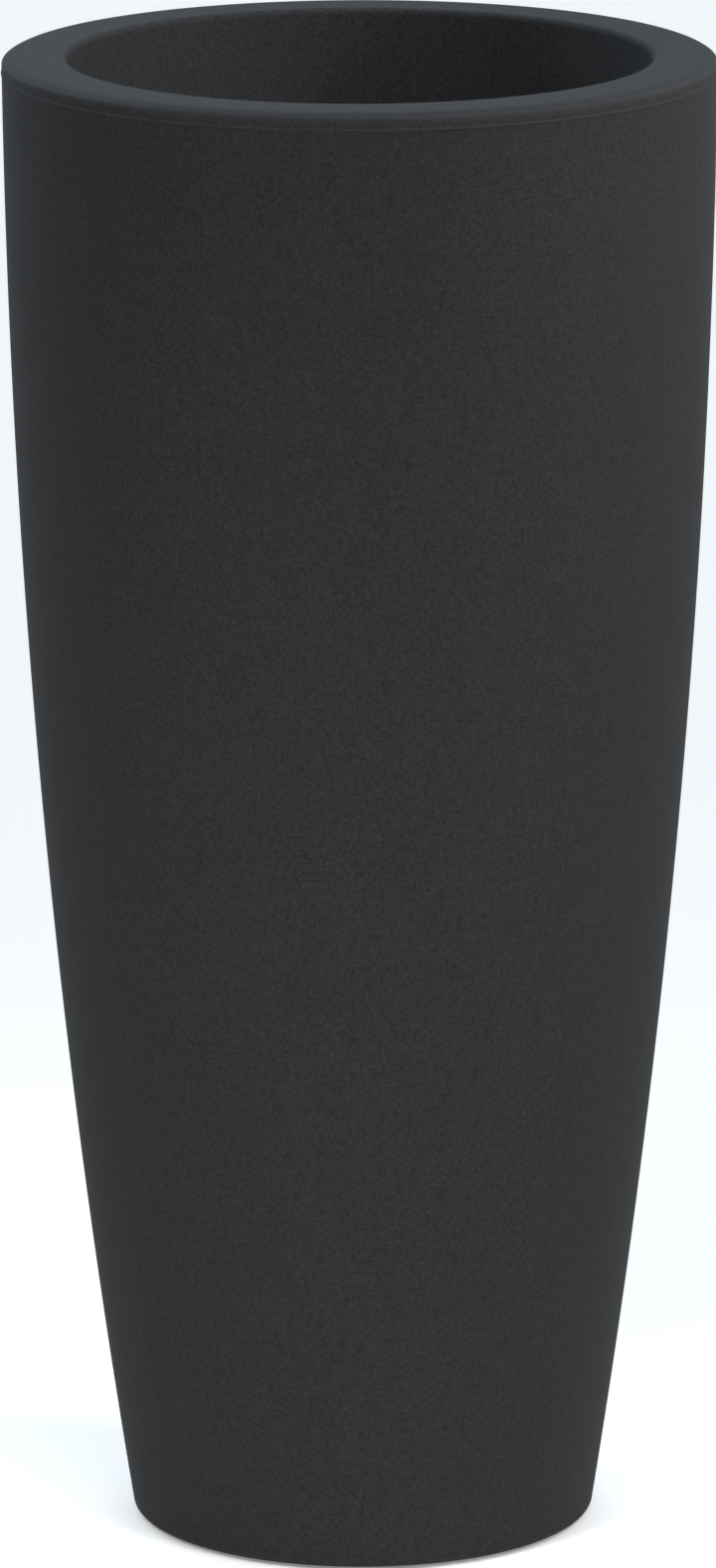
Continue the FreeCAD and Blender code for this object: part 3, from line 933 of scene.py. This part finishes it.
def moulded_anthracite():
    """The shell: matte dark grey plastic with a fine moulded grain, rubbed paler on its base edge, paler on
    the rim's outer shoulder from wear and a painted highlight, and with a painted highlight along its
    parting line.
    """
    finish = Finish("moulded_anthracite", roughness=0.85, Specular_IOR_Level=0.14)
    tone = (0.0173, 0.0179, 0.0191)
    finish.tone(
        tone,
        roughness_drift=0.2,
        Patch_size=0.05,
        Patch_strength=0.12,
        Speck_size=0.0019,
        Speck_strength=1.6,
    )
    # Paler over the rim's outer shoulder: partly rubbed wear, partly a painted highlight.
    rim_edge = HEIGHT - RIM_SHOULDER_DROP
    finish.wear_and_highlight(
        paler(tone, 1.6),
        Edge_radius=side.at(rim_edge),
        Edge_height=rim_edge,
        Reach=0.0045,
        Patch_size=0.03,
        Amount=1.1,
    )
    finish.wear_and_highlight(
        paler(tone, 1.6),
        Edge_radius=BASE_RADIUS,
        Edge_height=BASE_PLANE,
        Reach=0.006,
        Patch_size=0.02,
        Amount=0.5,
    )
    # Painted highlight: a paler line along the parting-line bead.
    finish.wear_and_highlight(
        paler(tone, 1.8),
        Edge_radius=side.at(BEAD_PLANE) + BEAD_HEIGHT,
        Edge_height=BEAD_PLANE,
        Reach=0.0012,
        Patch_size=0.1,
        Amount=1.0,
    )
    finish.relief(
        MOULDED_GRAIN,
        Grain_size=0.0019,
        Grain_depth=0.0002,
        Swell_size=0.07,
        Swell_depth=0.0004,
    )
    return finish.done()


def liner_black():
    """The liner: satin black plastic, with faint draw marks up its side."""
    finish = Finish("liner_black", roughness=0.42, Specular_IOR_Level=0.4)
    tone = (0.028, 0.028, 0.030)
    finish.tone(
        tone,
        roughness_drift=0.6,
        Patch_size=0.04,
        Patch_strength=0.15,
        Speck_size=0.002,
        Speck_strength=0.2,
    )
    finish.wear_and_highlight(
        paler(tone, 2),
        Edge_radius=FLANGE_RADIUS,
        Edge_height=FLANGE_TOP + LIP_HEIGHT,
        Reach=0.003,
        Patch_size=0.01,
        Amount=0.8,
    )
    finish.relief(
        MOULDED_GRAIN,
        Grain_size=0.0008,
        Grain_depth=0.00003,
        Swell_size=0.05,
        Swell_depth=0.0002,
    )
    finish.relief(FINE_STREAKS, Streak_size=(0.002, 0.002, 0.12), Depth=0.00008)
    return finish.done()


def handle_black():
    """The handles: black plastic with a spark-eroded texture."""
    finish = Finish("handle_black", roughness=0.5, Specular_IOR_Level=0.4)
    finish.tone(
        (0.016, 0.016, 0.017),
        roughness_drift=0.5,
        Patch_size=0.02,
        Patch_strength=0.15,
        Speck_size=0.001,
        Speck_strength=0.3,
    )
    finish.relief(
        MOULDED_GRAIN,
        Grain_size=0.0006,
        Grain_depth=0.00006,
        Swell_size=0.03,
        Swell_depth=0.0001,
    )
    return finish.done()


def pin_steel():
    """The hinge pins: drawn stainless wire, with streaks along its length."""
    finish = Finish("pin_steel", roughness=0.3, Metallic=1.0)
    finish.tone(
        (0.56, 0.56, 0.57),
        roughness_drift=0.6,
        Patch_size=0.003,
        Patch_strength=0.2,
        Speck_size=0.0005,
        Speck_strength=0.2,
    )
    finish.relief(FINE_STREAKS, Streak_size=(0.0003, 0.006, 0.0003), Depth=0.00001)
    return finish.done()


def rubber(name, tone, grain):
    """Matte black rubber with a fine bloom."""
    finish = Finish(name, roughness=0.82, Specular_IOR_Level=0.3)
    finish.tone(
        tone,
        roughness_drift=0.4,
        Patch_size=0.006,
        Patch_strength=0.3,
        Speck_size=grain,
        Speck_strength=0.4,
    )
    finish.relief(
        MOULDED_GRAIN,
        Grain_size=grain,
        Grain_depth=grain / 12,
        Swell_size=0.008,
        Swell_depth=0.0001,
    )
    return finish.done()


def plug_plastic():
    """The plug: satin black plastic."""
    finish = Finish("plug_plastic", roughness=0.45, Specular_IOR_Level=0.4)
    finish.tone(
        (0.018, 0.018, 0.019),
        roughness_drift=0.5,
        Patch_size=0.01,
        Patch_strength=0.2,
        Speck_size=0.001,
        Speck_strength=0.3,
    )
    finish.relief(
        MOULDED_GRAIN,
        Grain_size=0.0007,
        Grain_depth=0.00004,
        Swell_size=0.012,
        Swell_depth=0.0001,
    )
    return finish.done()


def place_piece(piece, finish, body, node):
    """Finishes a piece and sets it in the frame in place of a node."""
    tidied(piece, finish)
    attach(piece, body)
    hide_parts(node)


def dress_planter():
    """Makes every piece and puts it in place of its node."""
    shell_finish = moulded_anthracite()
    liner_finish = liner_black()
    handle_finish = handle_black()
    pin_finish = pin_steel()
    foot_finish = rubber("foot_rubber", (0.02, 0.02, 0.021), 0.0009)
    washer_finish = rubber("washer_rubber", (0.015, 0.015, 0.016), 0.0006)
    plug_finish = plug_plastic()
    place_piece(planter_shell(shell_finish), shell_finish, "shell", "outer_shell")
    place_piece(liner_moulding(liner_finish), liner_finish, "liner", "liner_pot")
    for side_name, x_side in (("left", -1), ("right", 1)):
        handle = lift_handle(x_side, "lift_handle_" + side_name, handle_finish)
        place_piece(handle, handle_finish, side_name + "_handle", "handle_" + side_name)
        pins = hinge_pins(x_side, "hinge_pins_" + side_name)
        place_piece(pins, pin_finish, "liner", "handle_pins_" + side_name)
    place_piece(drain_stopper(plug_finish), plug_finish, "plug", "drain_plug")
    washer = turned(washer_section(), "stopper_washer", washer_finish, SMALL_STEPS)
    place_piece(washer, washer_finish, "plug", "plug_washer")
    for corner in FOOT_CORNERS:
        pad = rubber_foot(corner, foot_finish)
        place_piece(pad, foot_finish, "shell", "foot_pad_" + corner)


def pale_floor():
    """A wide plain floor that glows a little, so that it stays near white."""
    reach = 30
    corners = [(-reach, -reach, 0), (reach, -reach, 0), (reach, reach, 0), (-reach, reach, 0)]
    mesh = bpy.data.meshes.new("pale_floor")
    mesh.from_pydata(corners, [], [(0, 1, 2, 3)])
    floor = bpy.data.objects.new("pale_floor", mesh)
    bpy.context.scene.collection.objects.link(floor)
    material = bpy.data.materials.new("pale_floor")
    material.use_nodes = True
    shader = material.node_tree.nodes["Principled BSDF"]
    shader.inputs["Base Color"].default_value = (0.95, 0.95, 0.95, 1)
    shader.inputs["Roughness"].default_value = 0.9
    shader.inputs["Specular IOR Level"].default_value = 0.1
    shader.inputs["Emission Color"].default_value = (1, 1, 1, 1)
    shader.inputs["Emission Strength"].default_value = 0.18
    mesh.materials.append(material)


def add_soft_light(name, bearing, elevation, strength, tint=(1, 1, 1)):
    """A broad distant light, with angles in degrees: bearing 0 is the front, and 90 the right."""
    data = bpy.data.lights.new(name, "SUN")
    data.energy = strength
    data.color = tint
    data.angle = DISTANT_LIGHT_SPREAD
    light = bpy.data.objects.new(name, data)
    turn = Matrix.Rotation(math.radians(bearing), 4, "Z")
    light.matrix_world = turn @ Matrix.Rotation(math.radians(90 - elevation), 4, "X")
    bpy.context.scene.collection.objects.link(light)


def add_soft_box(name, place, target, watts, spread, tint=(1, 1, 1)):
    """A round soft box near the planter, which keeps its light within a spread in degrees."""
    data = bpy.data.lights.new(name, "AREA")
    data.energy = watts
    data.color = tint
    data.shape = "DISK"
    data.size = SOFT_BOX_DIAMETER
    data.spread = math.radians(spread)
    light = bpy.data.objects.new(name, data)
    aim = (Vector(target) - Vector(place)).to_track_quat("-Z", "Y")
    light.matrix_world = Matrix.Translation(place) @ aim.to_matrix().to_4x4()
    light.visible_camera = False
    bpy.context.scene.collection.objects.link(light)


def studio_light():
    """A white world, four broad lights, two soft boxes on the lower side and three on the rim and mouth."""
    world = bpy.data.worlds.new("studio")
    world.use_nodes = True
    background = world.node_tree.nodes["Background"]
    background.inputs["Color"].default_value = (1, 1, 1, 1)
    background.inputs["Strength"].default_value = 0.28
    bpy.context.scene.world = world
    cool = (0.84, 1.01, 1.15)
    slightly_cool = (0.95, 1.01, 1.05)
    add_soft_light("front", bearing=0, elevation=30, strength=0.68)
    add_soft_light("right", bearing=50, elevation=20, strength=0.9)
    add_soft_light("behind", bearing=180, elevation=40, strength=0.74, tint=cool)
    add_soft_light("above", bearing=180, elevation=65, strength=0.5, tint=cool)
    add_soft_box(
        "lower_left",
        place=(-1.0, -1.5, 1.5),
        target=(-0.05, -0.1, 0.15),
        watts=1.03,
        spread=40,
    )
    add_soft_box(
        "lower_right",
        place=(1.0, -1.5, 1.5),
        target=(0.05, -0.1, 0.15),
        watts=0.6,
        spread=40,
    )
    add_soft_box(
        "rim_right",
        place=(1.5, 0, 1.8),
        target=(-0.15, 0, 0.85),
        watts=3.2,
        spread=60,
    )
    add_soft_box(
        "mouth",
        place=(0, -0.5, 2.1),
        target=(0, 0.1, 0.85),
        watts=1.05,
        spread=60,
        tint=slightly_cool,
    )
    add_soft_box(
        "rim_behind_left",
        place=(-0.9, 0.8, 1.6),
        target=(-0.1, 0.1, 0.9),
        watts=1.2,
        spread=60,
        tint=cool,
    )


def photo_camera():
    """The camera that sees the planter from slightly above, as a 720 by 1577 picture."""
    picture_height = 1577
    focal_length_pixels = 10634
    place = (-0.0020, -6.221, 1.9180)
    pitch_down = math.radians(13.242)
    roll = math.radians(-0.14)
    data = bpy.data.cameras.new("camera")
    data.sensor_width = 36
    data.lens = focal_length_pixels * data.sensor_width / picture_height
    data.clip_end = 100
    camera = bpy.data.objects.new("camera", data)
    turn = Matrix.Rotation(math.pi / 2 - pitch_down, 4, "X") @ Matrix.Rotation(roll, 4, "Z")
    camera.matrix_world = Matrix.Translation(place) @ turn
    bpy.context.scene.collection.objects.link(camera)
    bpy.context.scene.camera = camera
    bpy.context.scene.view_settings.view_transform = "Standard"


dress_planter()
pale_floor()
studio_light()
photo_camera()
